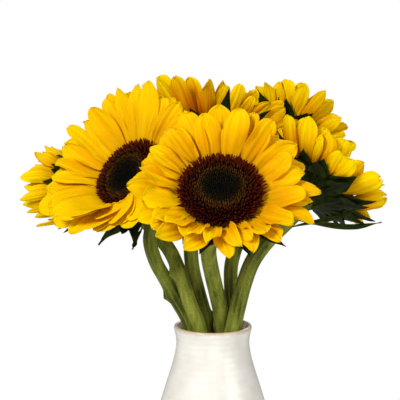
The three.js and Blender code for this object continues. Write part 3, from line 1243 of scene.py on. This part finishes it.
@dataclass
class RayWhorl:
    """One ring of ray petals.

    Attributes:
        head: The head that they grow on.
        bloom: How its flower grows.
        layer: Which ring it is.
        cut: How they are cut out.
    """

    head: Head
    bloom: Bloom
    layer: Layer
    cut: Cut = Cut(
        columns=16,
        rows=26,
        base=0.34,
        peak=0.56,
        taper=2.4,
        point=0.66,
        tip=0.1,
        thickness=0.3 * MM,
    )

    def stray(self, dice: random.Random, most: float, calm: float) -> float:
        """Draw how far one petal strays to either side, at the most so far."""
        return dice.uniform(-most, most) * self.bloom.loose * calm

    def growth(self, blade: Blade, dice: random.Random, size: float = 1.0) -> Growth:
        """Grow one petal.

        Args:
            blade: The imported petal.
            dice: Where its chances come from.
            size: Its size as a share of the usual.

        Returns:
            Its growth.
        """
        bloom, calm = self.bloom, 1 - press(self.bloom, blade, "calm")
        sign = 1 if self.layer is Layer.INNER else -1
        length = bloom.stretch * (1 + (1 - bloom.even) * dice.uniform(-0.09, 0.06)) * size**0.5
        wider = 1 + press(bloom, blade, "width")
        return Growth(
            half=bloom.width / 2 * MM * dice.uniform(0.8, 1.15) * size * wider,
            start=-0.16,
            stretch=length * (1 + press(bloom, blade, "length")),
            close=bloom.close + self.stray(dice, 0.1, calm) + press(bloom, blade, "close"),
            roll=0.3 * sign * calm + self.stray(dice, 0.26, calm),
            twist=self.stray(dice, 0.5, calm),
            bow=(bloom.bow + self.stray(dice, 2.0, calm)) * MM,
            hook=(bloom.hook + self.stray(dice, 3.0, calm) + press(bloom, blade, "hook")) * MM,
            swell=press(bloom, blade, "swell") * MM,
            channel=bloom.channel * dice.uniform(0.2, 1.8) * MM,
            pleat=dice.uniform(0.4, 0.8) * MM,
            pleats=dice.uniform(2.4, 3.6),
            ripple=dice.uniform(0.8, 2.4) * bloom.loose * calm * MM,
            sway=(dice.uniform(-3.5, 3.5) + press(bloom, blade, "sway")) * MM,
            blunt=dice.uniform(0, 1) * bloom.blunt,
            teeth=dice.choice([0.0, 0.01, 0.02, 0.035]) + press(bloom, blade, "ragged"),
            phase=dice.uniform(0, TURN),
            tone=self.shade(blade, dice),
        )

    def shade(self, blade: Blade, dice: random.Random) -> float:
        """Draw how pale one petal is.

        Args:
            blade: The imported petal.
            dice: Where its chances come from.

        Returns:
            Its paleness, from 0 to 1.
        """
        # The pushes' tone is painted light and shade on their side of the head.
        pale = self.bloom.pale + dice.uniform(-0.4, 0.4) + press(self.bloom, blade, "tone")
        return min(1, max(0, pale))

    def build(self, skin: bpy.types.Material) -> bpy.types.Object:
        """Build the ring of petals as one piece.

        Args:
            skin: The petals' material.

        Returns:
            The piece.
        """
        ring = f"{self.layer.value}_{self.head.letter}"
        node = f"rays_{ring}"
        dice = random.Random(node)
        bed = BladeBed(self.cut)
        blades = whorl_blades(node, self.head)
        for blade, after in zip(blades, [*blades[1:], blades[0]]):
            bed.lay(blade, self.growth(blade, dice))
            if dice.random() < self.bloom.extra * (1 - press(self.bloom, blade, "calm")):
                more = Blade.between(blade, after, self.head.facing * dice.uniform(-1.2, 1.2) * MM)
                bed.lay(more, self.growth(more, dice, dice.uniform(0.7, 0.98)))
        return piece_from(bed.mesh, f"petals_{ring}", skin, [node])


@dataclass
class BractWhorl:
    """One ring of green bracts behind the petals, and in the outer one those on the receptacle.

    Attributes:
        head: The head that they grow on.
        bloom: How its flower grows.
        layer: Which ring it is.
        cut: How they are cut out.
        backs: How many more clasp the receptacle.
        clear: How far those stand off its skin.
    """

    head: Head
    bloom: Bloom
    layer: Layer
    cut: Cut = Cut(
        columns=8,
        rows=16,
        base=0.95,
        peak=0.22,
        taper=1.15,
        point=1.1,
        tip=0.02,
        thickness=0.5 * MM,
    )
    backs: int = 15
    clear: float = 0.9 * MM

    def growth(self, blade: Blade, dice: random.Random) -> Growth:
        """Grow one bract of the ring.

        Args:
            blade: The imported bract.
            dice: Where its chances come from.

        Returns:
            Its growth.
        """
        length = self.bloom.bract + press(self.bloom, blade, "bract")
        return Growth(
            half=blade.width * dice.uniform(0.58, 0.76) * self.bloom.bract**0.5,
            start=-0.15,
            stretch=dice.uniform(1.0, 1.3) * length,
            close=self.bloom.close,
            roll=dice.uniform(-0.15, 0.15),
            twist=dice.uniform(-0.35, 0.35),
            bow=dice.uniform(-1.5, 2.5) * MM,
            hook=dice.uniform(-1.5, 2) * MM,
            sway=dice.uniform(-2, 2) * MM,
            channel=dice.uniform(-0.4, 1.0) * MM,
            pleat=0.3 * MM,
            pleats=1.0,
            ripple=0.5 * MM,
            tone=dice.uniform(0, 0.5),
        )

    def clasp(self, bed: BladeBed, dice: random.Random) -> None:
        """Lay the bracts that clasp the receptacle.

        Args:
            bed: The mesh that they go in.
            dice: Where their chances come from.
        """
        head, wide = self.head, self.head.radius * 0.42
        for k in range(self.backs):
            phi = TURN * (k + dice.uniform(-0.25, 0.25)) / self.backs
            radial = head.matrix.to_3x3() @ Vector((math.cos(phi), math.sin(phi), 0))

            # Up the receptacle, just clear of its skin, and out behind the petals' roots.
            low = dice.uniform(17, 23) * MM
            knots = []
            for behind in (low, low - 4 * MM, low - 8 * MM, 7 * MM, 3 * MM):
                out = head.cup(behind) + self.clear
                knots.append(head.centre - head.facing * behind + radial * out)
            out = head.radius + dice.uniform(1.5, 5) * MM
            knots.append(head.centre - head.facing * dice.uniform(2, 4.5) * MM + radial * out)

            blade = Blade(Track.through(knots), head.facing.cross(radial), wide)
            growth = Growth(
                half=wide * dice.uniform(0.42, 0.56),
                twist=dice.uniform(-0.3, 0.3),
                bow=dice.uniform(-3.5, -0.5) * MM,
                sway=dice.uniform(-3, 3) * MM,
                channel=dice.uniform(1.2, 2.2) * MM,
                pleat=0.3 * MM,
                pleats=1.0,
                ripple=0.5 * MM,
                tone=dice.uniform(0, 0.6),
            )
            bed.lay(blade, growth)

    def build(self, skin: bpy.types.Material) -> bpy.types.Object:
        """Build the ring of bracts as one piece.

        Args:
            skin: The bracts' material.

        Returns:
            The piece.
        """
        node = f"bracts_{self.layer.value}_{self.head.letter}"
        dice = random.Random(node)
        bed = BladeBed(self.cut)
        for blade in whorl_blades(node, self.head):
            bed.lay(blade, self.growth(blade, dice))
        if self.layer is Layer.OUTER:
            self.clasp(bed, dice)
        return piece_from(bed.mesh, node, skin, [node])


class Floret(Enum):
    """How far a disc floret has opened: its height, foot, waist and mouth in millimetres."""

    BUD = (2.0, 0.6, 0.72, 0.2)
    OPENING = (3.0, 0.45, 0.55, 0.3)
    OPEN = (4.6, 0.32, 0.44, 0.4)

    def template(self, sides: int = 6) -> bpy.types.Mesh:
        """Model one floret, standing on its origin.

        Args:
            sides: How many faces it has round it.

        Returns:
            Its mesh, with how high each point stands as the attribute "tip".
        """
        height, foot, waist, mouth = self.value
        mesh = bmesh.new()
        tip = mesh.verts.layers.float.new("tip")
        mesh.verts.layers.float.new("reach")
        mesh.verts.layers.float.new("tone")
        made = bmesh.ops.create_circle(mesh, cap_ends=True, radius=foot * MM, segments=sides)
        edges = list(dict.fromkeys(e for v in made["verts"] for e in v.link_edges))
        for level, radius in ((0.55, waist), (1.0, mouth)):
            grown = bmesh.ops.extrude_edge_only(mesh, edges=edges)["geom"]
            verts = [g for g in grown if isinstance(g, bmesh.types.BMVert)]
            edges = [g for g in grown if isinstance(g, bmesh.types.BMEdge)]
            for i, vert in enumerate(sorted(verts, key=lambda v: math.atan2(v.co.y, v.co.x))):
                # An opened mouth parts into lobes that lean out by turns and stand up by turns.
                if self is Floret.BUD or level < 1:
                    lobe, rise = 1.0, 1.0
                else:
                    lobe, rise = (1.7, 0.92) if i % 2 else (0.35, 1.2)
                flat = Vector((vert.co.x, vert.co.y, 0)).normalized() * radius * lobe * MM
                vert.co = flat + Vector((0, 0, level * rise * height * MM))
        bmesh.ops.contextual_create(mesh, geom=edges)
        for vert in mesh.verts:
            vert[tip] = min(1.0, vert.co.z / (height * MM))
        bmesh.ops.recalc_face_normals(mesh, faces=mesh.faces)
        data = bpy.data.meshes.new("floret")
        mesh.to_mesh(data)
        mesh.free()
        return data


@dataclass
class SeedDisc:
    """The disc: a bed with florets set on it in the golden-angle spiral, and a ragged fringe.

    Attributes:
        head: The head that it belongs to.
        spacing: Distance between florets.
        opening: Where the buds end, as a share of the radius.
        open: Where the florets are all open.
        fringe: How many florets the fringe adds.
        inset: The bed's radius as a share of the disc's.
        sink: How deep the bed lies under the florets' surface.
        steps: Faces round the bed.
    """

    head: Head
    spacing: float = 1.65 * MM
    opening: float = 0.5
    open: float = 0.68
    fringe: int = 130
    inset: float = 0.885
    sink: float = 0.6 * MM
    steps: int = 48

    def surface(self, share: float) -> float:
        """Work out the florets' surface: dished in the middle, falling at the rim.

        Args:
            share: How far out from the centre, as a share of the radius.

        Returns:
            Its height there, above the head's plane.
        """
        dome = 1.6 * math.sin(math.pi * min(share / 1.05, 1)) ** 2
        fall = 3.6 * max(0, share - 0.55) ** 1.5 / 0.3
        return (4.2 + dome - fall) * MM

    def bed(self, mesh: bmesh.types.BMesh, rings: int = 14) -> None:
        """Turn the bed under the florets.

        Args:
            mesh: The mesh that it goes in.
            rings: How many rings of faces its top has.
        """
        radius = self.head.radius * self.inset
        profile = []
        for i in range(rings + 1):
            profile.append(Vector((radius * i / rings, 0, self.surface(i / rings) - self.sink)))
        profile += [Vector((radius * 0.94, 0, -self.sink)), Vector((0, 0, -self.sink))]
        verts = [mesh.verts.new(p) for p in profile]
        edges = [mesh.edges.new(pair) for pair in zip(verts, verts[1:])]
        bmesh.ops.spin(
            mesh,
            geom=verts + edges,
            cent=(0, 0, 0),
            axis=(0, 0, 1),
            angle=TURN,
            steps=self.steps,
            use_merge=True,
        )
        bmesh.ops.remove_doubles(mesh, verts=mesh.verts, dist=0.01 * MM)
        bmesh.ops.recalc_face_normals(mesh, faces=mesh.faces)

    def build(self, skin: bpy.types.Material) -> bpy.types.Object:
        """Build the disc as one piece.

        Args:
            skin: The florets' material.

        Returns:
            The piece.
        """
        head, node = self.head, f"disc_{self.head.letter}"
        dice = random.Random(node)
        templates = {kind: kind.template() for kind in Floret}
        mesh = bmesh.new()
        tip, reach, tone = (mesh.verts.layers.float.new(name) for name in ("tip", "reach", "tone"))
        self.bed(mesh)
        for vert in mesh.verts:
            vert[reach] = min(1.0, math.hypot(vert.co.x, vert.co.y) / head.radius)
        wide = head.radius * self.inset
        # Florets packed in hexagons, each of which takes this much of the bed.
        patch = 0.866 * self.spacing**2
        count = round(math.pi * wide**2 / patch)
        for k in range(count + self.fringe):
            if k < count:
                share, angle = math.sqrt((k + 0.5) / count), k * GOLDEN_ANGLE
            else:
                share = dice.uniform(0.97, 1.04)
                angle = TURN * (k - count) / self.fringe + dice.uniform(-0.03, 0.03)
            edge = dice.uniform(-0.03, 0.03)
            if share < self.opening + edge:
                kind = Floret.BUD
            else:
                kind = Floret.OPENING if share < self.open + edge else Floret.OPEN

            # Open florets lean out, more so near the rim, and the rest lean in.
            outward = -0.25 * share
            if share > self.open:
                outward = 0.12 + 0.75 * max(0, share - 0.7) / 0.3
            lean = outward + dice.uniform(-0.16, 0.16) * (2 if kind is Floret.OPEN else 1)
            size = dice.uniform(0.85, 1.15) * (0.92 if k >= count else 1)
            floret = templates[kind].copy()
            for name, value in (("reach", min(1, share)), ("tone", dice.random())):
                values = np.full(len(floret.vertices), value)
                floret.attributes[name].data.foreach_set("value", values)
            floret.transform(
                Matrix.Rotation(angle, 4, "Z")
                @ Matrix.Translation((share * wide, 0, self.surface(min(share, 1)) - 1.0 * MM))
                @ Matrix.Rotation(lean, 4, "Y")
                @ Matrix.Rotation(dice.uniform(-0.15, 0.15), 4, "X")
                @ Matrix.Rotation(dice.uniform(0, TURN), 4, "Z")
                @ Matrix.Diagonal((1, 1, size, 1))
            )
            mesh.from_mesh(floret)
            bpy.data.meshes.remove(floret)
        for template in templates.values():
            bpy.data.meshes.remove(template)
        mesh.transform(head.matrix)
        return piece_from(mesh, f"seed_{node}", skin, [node])


# ---------------------------------------------------------------- stems and leaves


@dataclass(frozen=True)
class Scar:
    """Where a leaf was cut off a stem.

    Attributes:
        height: How high it stands above the table.
        toward: The horizontal direction that it faces, in degrees from +X.
        size: How far it stands out.
        reach: How far up and down from there it reaches.
    """

    height: float
    toward: float
    size: float
    reach: float = 3.4 * MM


@dataclass
class Stem:
    """A ribbed stem that swells into the receptacle under its disc.

    Attributes:
        head: The head that it carries.
        scars: Its leaf scars.
        ribs: How many ribs run along it.
        rib: The ribs' height.
        sides: Faces round it.
        pitch: Length of one face.
        join: How far behind the disc the receptacle takes over from the plain stem.
    """

    head: Head
    scars: tuple[Scar, ...] = ()
    ribs: int = 9
    rib: float = 0.13 * MM
    sides: int = 54
    pitch: float = 3.2 * MM
    join: float = 24 * MM

    def rings(self) -> tuple[np.ndarray, np.ndarray, np.ndarray, np.ndarray]:
        """Place the rings of the sweep.

        Returns:
            Each ring's centre, direction, radius and share of stem (1) or receptacle (0).
        """
        head = self.head
        centres, radius = stem_rings(head)

        # The plain stem, which comes in line with the head's axis as it ends.
        ends = [head.centre - head.facing * behind for behind in (self.join + 7 * MM, self.join)]
        track = Track.through([*centres, *ends])
        shares = np.linspace(0, 1, round(track.length / self.pitch))
        low, low_way = track.at(shares), track.along(shares, 0.008)

        # The receptacle, from just above there to just under the disc.
        behinds = np.linspace(self.join - 1 * MM, 0.5 * MM, 12)
        high = np.array([head.centre - head.facing * b for b in behinds])
        high_way = np.tile(np.array(head.facing), (len(behinds), 1))

        near = np.maximum(0, (np.array(head.centre) - low) @ np.array(head.facing))
        far = np.linalg.norm(low - np.array(head.centre), axis=1) > NECK
        low_radii = [radius if f else head.cup(n, radius) for n, f in zip(near, far)]
        radii = np.array([*low_radii, *[head.cup(b, radius) for b in behinds]])
        plain = np.clip(np.array([*np.where(far, NECK, near), *behinds]) / (30 * MM), 0, 1)
        return np.vstack([low, high]), np.vstack([low_way, high_way]), radii, plain

    def build(self, skin: bpy.types.Material) -> bpy.types.Object:
        """Build the stem and receptacle as one swept piece.

        Args:
            skin: The stem's material.

        Returns:
            The piece.
        """
        node = f"stem_{self.head.letter}"
        dice = random.Random(node)
        centres, ways, radii, plain = self.rings()
        mesh = bmesh.new()
        tone, fold, cup = (mesh.verts.layers.float.new(name) for name in ("tone", "fold", "cup"))
        angles = np.arange(self.sides) * TURN / self.sides
        offset = dice.uniform(0, TURN)
        wave = 0.6 * np.cos(self.ribs * angles + offset)
        wave = wave + 0.4 * np.cos(2 * self.ribs * angles + 1.3 * offset)
        side = np.cross(ways[0], (0, 1, 0))
        edges, verts = [], []
        for k, (centre, way, radius, share) in enumerate(zip(centres, ways, radii, plain)):
            side = side - way * (side @ way)
            side /= np.linalg.norm(side)
            up = np.cross(way, side)
            out = np.outer(np.cos(angles), side) + np.outer(np.sin(angles), up)
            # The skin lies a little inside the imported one, so that ribs and scars stand out on it.
            size = radius * 0.975 + self.rib * wave * (0.4 + 0.6 * share)
            size = size + self.swelling(centre, out)
            if k == 0:
                foot = bmesh.ops.create_circle(mesh, cap_ends=True, radius=1, segments=self.sides)
                verts, edges = foot["verts"], mesh.edges[:]
            else:
                grown = bmesh.ops.extrude_edge_only(mesh, edges=edges)["geom"]
                verts = [g for g in grown if isinstance(g, bmesh.types.BMVert)]
                edges = [g for g in grown if isinstance(g, bmesh.types.BMEdge)]
            for vert, place, lift in zip(verts, centre + out * size[:, None], wave):
                vert.co = place
                vert[fold], vert[tone] = 0.5 + 0.5 * lift, 0.25 + 0.1 * math.sin(k * 0.35)
                vert[cup] = min(1.0, max(0.0, 1.6 - 1.6 * share))
        bmesh.ops.contextual_create(mesh, geom=edges)
        bmesh.ops.recalc_face_normals(mesh, faces=mesh.faces)
        return piece_from(mesh, f"{node}_ribbed", skin, [node])

    def swelling(self, centre: np.ndarray, out: np.ndarray) -> np.ndarray:
        """How far leaf scars raise the skin of one ring.

        Args:
            centre: The ring's centre.
            out: The outward direction of each point of the ring.

        Returns:
            The rise at each point.
        """
        rise = np.zeros(len(out))
        for scar in self.scars:
            toward = math.radians(scar.toward)
            facing = out @ np.array([math.cos(toward), math.sin(toward), 0])
            over = (centre[2] - scar.height) / scar.reach
            round_it = 0.15 + 0.85 * np.exp(-((1 - facing) / 0.22))
            rise += scar.size * math.exp(-(over**2)) * round_it
        return rise


@dataclass
class StemLeaf:
    """A narrow upper leaf, folded along its midrib.

    Attributes:
        node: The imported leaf.
        letter: The letter of the flower whose stem it leaves.
        bow: How far its tip is carried to its upper side, in millimetres.
        twist: Turn added from root to tip, in radians.
        breadth: Half its width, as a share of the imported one's width.
        swell: How far its middle is carried to its upper side, in millimetres.
        roll: Turn about its own length at the root, in radians.
        cut: How it is cut out.
    """

    node: str
    letter: str
    bow: float
    twist: float
    breadth: float = 0.55
    swell: float = 0.0
    roll: float = 0.0
    cut: Cut = Cut(
        columns=14,
        rows=40,
        base=0.16,
        peak=0.54,
        taper=1.2,
        point=1.0,
        tip=0.03,
        thickness=0.55 * MM,
        stalk=3.0,
    )

    def build(self, skin: bpy.types.Material) -> bpy.types.Object:
        """Build the leaf as one piece.

        Args:
            skin: The leaf's material.

        Returns:
            The piece.
        """
        blade = leaf_blade(self.node, self.letter)
        bed = BladeBed(self.cut)
        bed.lay(
            blade,
            Growth(
                half=blade.width * self.breadth,
                start=-0.04,
                stretch=1.04,
                roll=self.roll,
                twist=self.twist,
                bow=self.bow * MM,
                swell=self.swell * MM,
                channel=2.2 * MM,
                pleat=0.3 * MM,
                pleats=1.0,
                ripple=1.6 * MM,
                phase=1.0,
                tone=0.3,
            ),
        )
        return piece_from(bed.mesh, f"{self.node}_blade", skin, [self.node])


# ---------------------------------------------------------------- vase and water


@dataclass
class Vase:
    """The thrown vase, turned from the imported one's own section.

    Attributes:
        node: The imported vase.
        steps: Faces round it, before it is smoothed.
        smoothing: How many times it is smoothed.
    """

    node: str = "vase"
    steps: int = 60
    smoothing: int = 2

    def build(self) -> bpy.types.Object:
        """Build the vase as one piece.

        Returns:
            The piece.
        """
        mesh = welded(self.node)
        top = max(v.co.z for v in mesh.verts)
        beyond = [v for v in mesh.verts if abs(v.co.y) > WELD or v.co.x < -WELD]
        bmesh.ops.delete(mesh, geom=beyond, context="VERTS")
        bmesh.ops.delete(mesh, geom=mesh.faces[:], context="FACES_ONLY")
        bmesh.ops.spin(
            mesh,
            geom=[*mesh.verts, *mesh.edges],
            cent=(0, 0, 0),
            axis=(0, 0, 1),
            angle=TURN,
            steps=self.steps,
            use_merge=True,
        )
        bmesh.ops.remove_doubles(mesh, verts=mesh.verts, dist=WELD)
        bmesh.ops.recalc_face_normals(mesh, faces=mesh.faces)
        glaze = StonewareGlaze().material(top)
        vase = piece_from(mesh, "thrown_vase", glaze, [self.node])
        smooth = vase.modifiers.new("smooth", "SUBSURF")
        smooth.levels = smooth.render_levels = self.smoothing
        return vase


@dataclass
class Water:
    """The water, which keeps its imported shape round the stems.

    Attributes:
        node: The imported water.
    """

    node: str = "water"

    def dress(self) -> bpy.types.Object:
        """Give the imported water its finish.

        Returns:
            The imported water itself.
        """
        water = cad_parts[self.node]
        water.data.materials.clear()
        water.data.materials.append(StillWater().material())
        return water


# ---------------------------------------------------------------- the studio


@dataclass(frozen=True)
class Softbox:
    """One square soft light, which points at the flowers.

    Attributes:
        name: The light's name.
        place: Where it hangs, from the point that the camera looks at.
        size: The side of its face.
        power: Its power in watts.
    """

    name: str
    place: tuple[float, float, float]
    size: float
    power: float


@dataclass
class Studio:
    """A paper floor, soft lights and a long lens level with the flowers.

    Attributes:
        look: The point that the camera looks at.
        rise: How far the camera stands above level, in degrees.
        away: How far off it stands.
        width: The width of the view at the vase's axis.
        sensor: The camera's sensor width in millimetres.
        glow: How strongly the white surroundings light the flowers.
        lights: The soft lights.
    """

    look: Vector
    rise: float = 8.0
    away: float = 1.15
    width: float = 0.32
    sensor: float = 36.0
    glow: float = 0.28
    lights: tuple[Softbox, ...] = (
        Softbox("key_softbox", (-0.75, -0.85, 0.75), size=0.4, power=13.7),
        Softbox("low_softbox", (0.1, -1.1, -0.35), size=0.6, power=2.6),
        Softbox("fill_softbox", (1.0, -0.8, 0.4), size=0.8, power=6),
        Softbox("back_softbox", (0.3, 1.0, 0.7), size=0.8, power=7),
    )

    def camera(self) -> None:
        """Set up the camera."""
        data = bpy.data.cameras.new("long_lens")
        data.sensor_width = self.sensor
        data.lens = self.sensor * self.away / self.width
        data.clip_start, data.clip_end = 0.05, 50
        camera = bpy.data.objects.new("camera", data)
        rise = math.radians(self.rise)
        camera.location = self.look + Vector((0, -math.cos(rise), math.sin(rise))) * self.away
        camera.rotation_euler = (math.pi / 2 - rise, 0, 0)
        bpy.context.scene.collection.objects.link(camera)
        bpy.context.scene.camera = camera

    def hang(self, box: Softbox) -> None:
        """Hang one soft light.

        Args:
            box: The light.
        """
        data = bpy.data.lights.new(box.name, "AREA")
        data.shape, data.size, data.energy = "SQUARE", box.size, box.power
        lamp = bpy.data.objects.new(box.name, data)
        place = self.look + Vector(box.place)
        lamp.location = place
        lamp.rotation_euler = (self.look - place).to_track_quat("-Z", "Y").to_euler()
        bpy.context.scene.collection.objects.link(lamp)

    def surroundings(self) -> None:
        """Surround everything with white."""
        world = bpy.data.worlds.new("white_room")
        world.use_nodes = True
        tree = world.node_tree
        tree.nodes.clear()
        seen = add(tree, "LightPath").outputs["Is Camera Ray"]
        around = add(tree, "Background", {"Color": linear("#ffffff"), "Strength": self.glow})
        behind = add(tree, "Background", {"Color": linear("#ffffff"), "Strength": 1.0})
        shader = add(tree, "MixShader", {0: seen, 1: around, 2: behind})
        add(tree, "OutputWorld", {"Surface": shader})
        bpy.context.scene.world = world
        bpy.context.scene.view_settings.view_transform = "Standard"

    def floor(self, radius: float = 1.0) -> None:
        """Lay a round paper floor.

        Args:
            radius: Its radius.
        """
        mesh = bmesh.new()
        bmesh.ops.create_circle(mesh, cap_ends=True, radius=radius, segments=96)
        data = bpy.data.meshes.new("paper_floor")
        mesh.to_mesh(data)
        mesh.free()
        data.materials.append(PaperSweep().material())
        floor = bpy.data.objects.new("paper_floor", data)
        bpy.context.scene.collection.objects.link(floor)

    def build(self) -> None:
        """Set up the whole studio."""
        self.camera()
        self.floor()
        self.surroundings()
        for box in self.lights:
            self.hang(box)


# ---------------------------------------------------------------- the bouquet

# In each flower's pushes, tone paints light and shade on that side of the head.
BLOOMS = (
    Bloom(
        "a",
        width=19.5,
        channel=1.8,
        hook=-1.0,
        loose=1.15,
        extra=0.4,
        blunt=0.4,
        pushes=(
            Push(270, 45, swell=2, length=-0.2, close=0.2, hook=-1, width=-0.2, tone=-0.4),
            Push(282, 16, swell=1, length=-0.1, hook=-2),
            Push(318, 14, bract=1.1),
            Push(350, 40, length=0.04),
            Push(90, 60, width=0.1, tone=-0.45),
            Push(180, 40, tone=0.4),
        ),
    ),
    Bloom(
        "b",
        width=20,
        channel=1.4,
        loose=1.1,
        extra=1.0,
        pushes=(
            Push(240, 38, swell=11, length=0.1, width=0.3, tone=0.3, calm=0.8),
            Push(256, 16, length=0.22),
            Push(
                300,
                36,
                swell=14,
                length=-0.28,
                width=0.4,
                close=0.5,
                sway=-9,
                tone=1.2,
                calm=0.95,
            ),
            Push(328, 20, swell=6, length=-0.22, close=0.35),
            Push(100, 80, width=-0.15, tone=0.25),
            Push(180, 50, length=0.15, tone=0.2),
        ),
    ),
    Bloom(
        "c",
        width=11.5,
        stretch=1.05,
        channel=2.4,
        close=0.4,
        extra=0.5,
        blunt=0.0,
        bract=0.55,
        pale=0.9,
        pushes=(
            Push(90, 45, length=-0.14),
            Push(270, 50, length=-0.3, close=0.2, width=-0.35, calm=0.8, bract=0.5),
            Push(340, 40, length=0.25, width=-0.2, calm=0.6),
        ),
    ),
    Bloom(
        "d",
        width=14,
        channel=2.6,
        bow=1.5,
        extra=0.8,
        even=0.6,
        bract=1.5,
        pale=0.25,
        pushes=(
            Push(35, 45, length=0.42, tone=0.25),
            Push(90, 30, length=-0.1),
            Push(114, 20, length=-0.17),
            Push(165, 45, length=0.2),
        ),
    ),
    Bloom(
        "f",
        width=13.5,
        stretch=1.1,
        channel=2.6,
        bow=1.5,
        extra=0.8,
        pale=0.9,
    ),
    Bloom(
        "g",
        width=16.5,
        stretch=1.02,
        channel=2.6,
        bow=1.5,
        extra=0.6,
        bract=0.9,
        pale=0.65,
        pushes=(
            Push(70, 35, length=0.12, width=0.1, calm=0.5),
            Push(198, 24, length=0.1, width=0.3, ragged=0.05),
            Push(242, 24, length=-0.5, width=-0.35),
        ),
    ),
)

# The scars on the stems that show them, by the flower's letter.
SCARS = {
    "b": (Scar(height=231 * MM, toward=180, size=4.6 * MM),),
    "c": (Scar(height=251 * MM, toward=185, size=3.6 * MM),),
    "d": (Scar(height=210 * MM, toward=0, size=3.4 * MM),),
}

LEAVES = (
    StemLeaf("leaf_b_long", "b", bow=-3, twist=0.4, roll=0.7),
    StemLeaf("leaf_b_short", "b", bow=2, twist=0.6),
    StemLeaf("leaf_g_long", "g", bow=0, twist=-0.4, swell=12, roll=-0.2, breadth=0.27),
    StemLeaf("leaf_g_short", "g", bow=0, twist=-0.4, swell=10, roll=-0.3, breadth=0.28),
)


def main() -> None:
    """Build the studio, the vase and every flower, and report each piece."""
    logging.basicConfig(level=logging.INFO, format="%(message)s")
    # The camera looks at the middle of the flowers, above the vase's lip.
    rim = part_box("vase")[1].z
    Studio(look=Vector((-10.4 * MM, 0, rim + 101.8 * MM))).build()

    petal, husk = PetalSkin().material(), FloretHusk().material()
    bract = GreenSkin(
        "rough_green_bract", deep="#151a00", pale="#283200", line="#475312", patch=6 * MM
    ).material()
    leaf = GreenSkin(
        "rough_green_leaf", deep="#1b2604", pale="#34440d", line="#566424", patch=6 * MM
    ).material()
    stalk = GreenSkin(
        "ribbed_green_stalk",
        deep="#363d0a",
        pale="#989f3a",
        line="#a5ac52",
        patch=8 * MM,
        along=0.2,
    ).material()

    made = [Vase().build(), Water().dress()]
    for bloom in BLOOMS:
        head = Head.measured(bloom.letter)
        made.append(SeedDisc(head).build(husk))
        for layer in Layer:
            made.append(RayWhorl(head, bloom, layer).build(petal))
            made.append(BractWhorl(head, bloom, layer).build(bract))
        made.append(Stem(head, SCARS.get(bloom.letter, ())).build(stalk))
    made += [spray.build(leaf) for spray in LEAVES]
    for piece in made:
        LOG.info("%s: %d faces", piece.name, len(piece.data.polygons))


if __name__ == "__main__":
    main()
